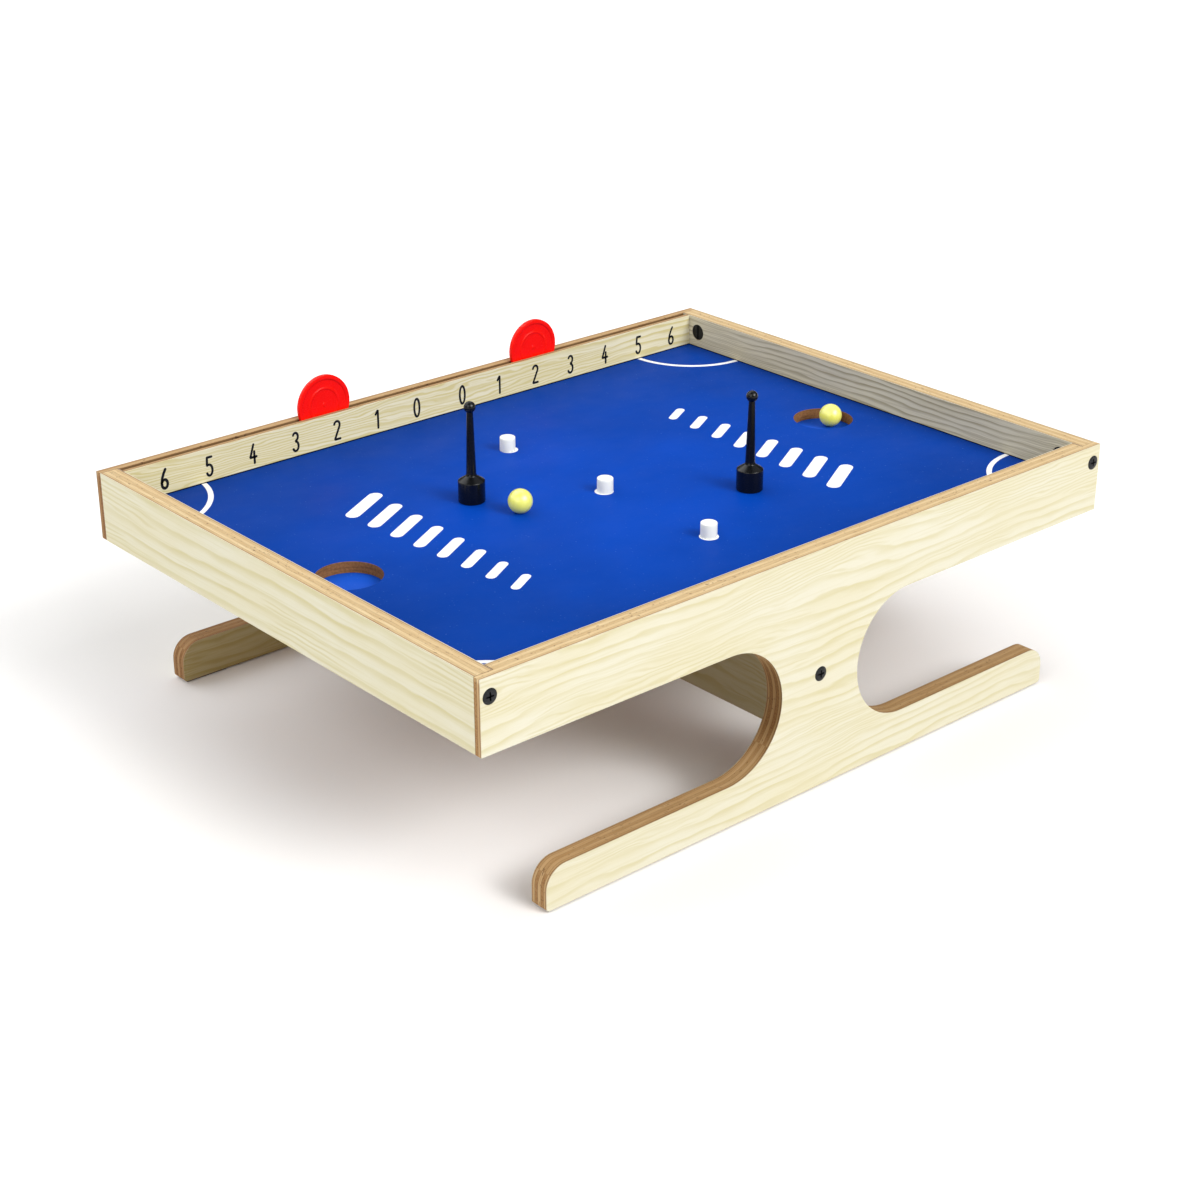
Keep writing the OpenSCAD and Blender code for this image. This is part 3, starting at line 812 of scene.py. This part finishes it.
def build_strikers():
    """Black standing pieces: a weighted base with a coned shoulder, a tapered stem and a ball."""
    black = moulded("black_plastic", srgb("07080A"), 0.24, srgb("0D0E11"), 0.5, specular=0.33)
    for body in ("left_striker", "right_striker"):
        low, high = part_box(body)
        radius, height = (high.x - low.x) / 2 / MM, (high.z - low.z) / MM
        centre = height - KNOB_R
        drop = math.sqrt(KNOB_R ** 2 - NECK_R ** 2)
        lower = filleted([
            (0, POCKET_H, 0), (POCKET_R, POCKET_H, 0), (POCKET_R, 0, 0.15), (radius, 0, 0.5),
            (radius, 12, 0.7), (3.1, 14.8, 0.8), (STEM_R, 16.0, 1.2), (NECK_R, centre - drop, 0)])
        ball = arc((0, centre), KNOB_R, math.degrees(math.asin(-drop / KNOB_R)) + 4, 90, 20)
        outline = [(p.x, p.y) for p in lower + ball[:-1]] + [(0.0, height)]
        spot = Matrix.Translation(((low.x + high.x) / 2, (low.y + high.y) / 2, low.z))
        set_up(lathe(body + "_moulded", outline, spot, 96), body, [black], None, [body])


def build_handles():
    """Grips under the board, one beneath each striker."""
    black = moulded("handle_plastic", srgb("0E0F11"), 0.42, srgb("17181B"), 0.5, 0.03)
    for body in ("left_handle", "right_handle"):
        made = cad_copy(body, body + "_moulded", 0.4)
        made.data.set_sharp_from_angle(angle=math.radians(50))
        set_up(made, body, [black], None, [body])


def build_balls():
    """Yellow balls with a faint mould line round the middle."""
    yellow = moulded("yellow_plastic", srgb("F8F466"), 0.36, srgb("FAF790"), 0.4, 0.05,
                     specular=1.0, glow=5.0, gloss=1.0)
    tilts = {"left_ball": (0.5, 0.3), "right_ball": (-0.4, 0.9)}
    for body, (about_x, about_y) in tilts.items():
        low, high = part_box(body)
        radius = (high.x - low.x) / 2 / MM
        outline = []
        for step in range(97):
            angle = math.radians(-90 + 180 * step / 96)
            seam = 0.05 * math.exp(-(math.degrees(angle) / 1.6) ** 2)
            reach = radius - 0.02 - seam
            outline.append((0.0 if step in (0, 96) else reach * math.cos(angle), reach * math.sin(angle)))
        turn = (Matrix.Translation((low + high) / 2) @ Matrix.Rotation(about_x, 4, "X")
                @ Matrix.Rotation(about_y, 4, "Y"))
        ball = lathe(body + "_moulded", outline, turn, 96, 60)
        set_up(ball, body, [yellow], None, [body])


def build_biscuits():
    """White caps with rounded rims, hollow below for their magnets."""
    white = moulded("white_plastic", srgb("FFFFEA"), 0.34, srgb("FEFDE4"), 0.3, specular=0.7, glow=1.5)
    for body in ("near_biscuit", "centre_biscuit", "far_biscuit"):
        low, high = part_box(body)
        radius, height = (high.x - low.x) / 2 / MM, (high.z - low.z) / MM
        outline = filleted([
            (0, 5.4, 0), (3.1, 5.4, 0), (3.1, 0, 0.1), (radius, 0, 0.3), (radius, height, 0.9),
            (radius - 1.2, height, 0.3), (radius - 1.5, height - 0.12, 0.2), (0, height - 0.12, 0)])
        spot = Matrix.Translation(((low.x + high.x) / 2, (low.y + high.y) / 2, low.z))
        cap = lathe(body + "_moulded", [(p.x, p.y) for p in outline], spot, 72)
        set_up(cap, body, [white], None, [body])


# ------------------------------------------------------------------------ camera, floor, light

CAMERA_PLACE = Vector((-0.7600, -0.8611, 0.5822))
CAMERA_AZIMUTH = -41.273
CAMERA_ELEVATION = 24.850
CAMERA_LENS = 67.77
SENSOR = 36.0
FLOOR_REACH = 80.0


def direction(azimuth, elevation):
    """Unit vector towards an azimuth, where 0 is -Y and 90 is +X, and an elevation, in degrees."""
    a, e = math.radians(azimuth), math.radians(elevation)
    return Vector((math.sin(a) * math.cos(e), -math.cos(a) * math.cos(e), math.sin(e)))


def add_camera():
    data = bpy.data.cameras.new("camera")
    data.lens = CAMERA_LENS
    data.sensor_width = SENSOR
    data.dof.use_dof = False
    camera = bpy.data.objects.new("camera", data)
    camera.location = CAMERA_PLACE
    back = direction(CAMERA_AZIMUTH, CAMERA_ELEVATION)
    camera.rotation_mode = "QUATERNION"
    camera.rotation_quaternion = (-back).to_track_quat("-Z", "Y")
    bpy.context.scene.collection.objects.link(camera)
    bpy.context.scene.camera = camera


def add_floor():
    g = Graph("pale_floor")
    x, y, z = g.place()
    cloud = g.noise(g.mul(x, 0.002), g.mul(y, 0.002), 0.0)
    tone = g.mix(cloud, srgb("F7F6F5"), srgb("F9F9F9"))
    material = g.finish(Base_Color=tone, Roughness=0.85, Specular_IOR_Level=0.1)
    corners = [(-FLOOR_REACH, -FLOOR_REACH, 0), (FLOOR_REACH, -FLOOR_REACH, 0),
               (FLOOR_REACH, FLOOR_REACH, 0), (-FLOOR_REACH, FLOOR_REACH, 0)]
    floor = mesh_piece("floor", corners, [[0, 1, 2, 3]])
    floor.data.materials.append(material)


WHITE = (1.0, 1.0, 1.0)
WARM_WHITE = (1.0, 0.995, 0.98)
WORLD_STRENGTH = 0.07
# Name, azimuth, elevation, strength, softness in degrees, and colour.
LIGHTS = (
    ("key_light", 10.0, 38.0, 1.80, 52.0, WARM_WHITE),
    ("key_core", 14.0, 36.0, 1.25, 20.0, WARM_WHITE),
    ("right_light", 60.0, 45.0, 0.30, 60.0, WHITE),
    ("left_light", -74.0, 32.0, 1.20, 50.0, WHITE),
    ("back_left_light", -150.0, 38.0, 1.25, 60.0, WHITE),
    ("back_right_light", 150.0, 52.0, 0.85, 60.0, WHITE))


def add_sun(name, azimuth, elevation, strength, softness, color):
    data = bpy.data.lights.new(name, "SUN")
    data.energy = strength
    data.angle = math.radians(softness)
    data.color = color
    lamp = bpy.data.objects.new(name, data)
    lamp.rotation_mode = "QUATERNION"
    lamp.rotation_quaternion = direction(azimuth, elevation).to_track_quat("Z", "Y")
    bpy.context.scene.collection.objects.link(lamp)


def add_lights():
    """Soft studio light: a broad main light with a brighter core, and weaker lights round the table."""
    for name, azimuth, elevation, strength, softness, color in LIGHTS:
        add_sun(name, azimuth, elevation, strength, softness, color)
    world = bpy.data.worlds.new("studio")
    world.use_nodes = True
    background = world.node_tree.nodes["Background"]
    background.inputs["Color"].default_value = (*WHITE, 1.0)
    background.inputs["Strength"].default_value = WORLD_STRENGTH
    bpy.context.scene.world = world
    bpy.context.scene.view_settings.view_transform = "Standard"


add_camera()
add_floor()
add_lights()
build_panels()
build_board()
build_field_print()
build_digits()
build_hardware()
build_discs()
build_strikers()
build_handles()
build_balls()
build_biscuits()
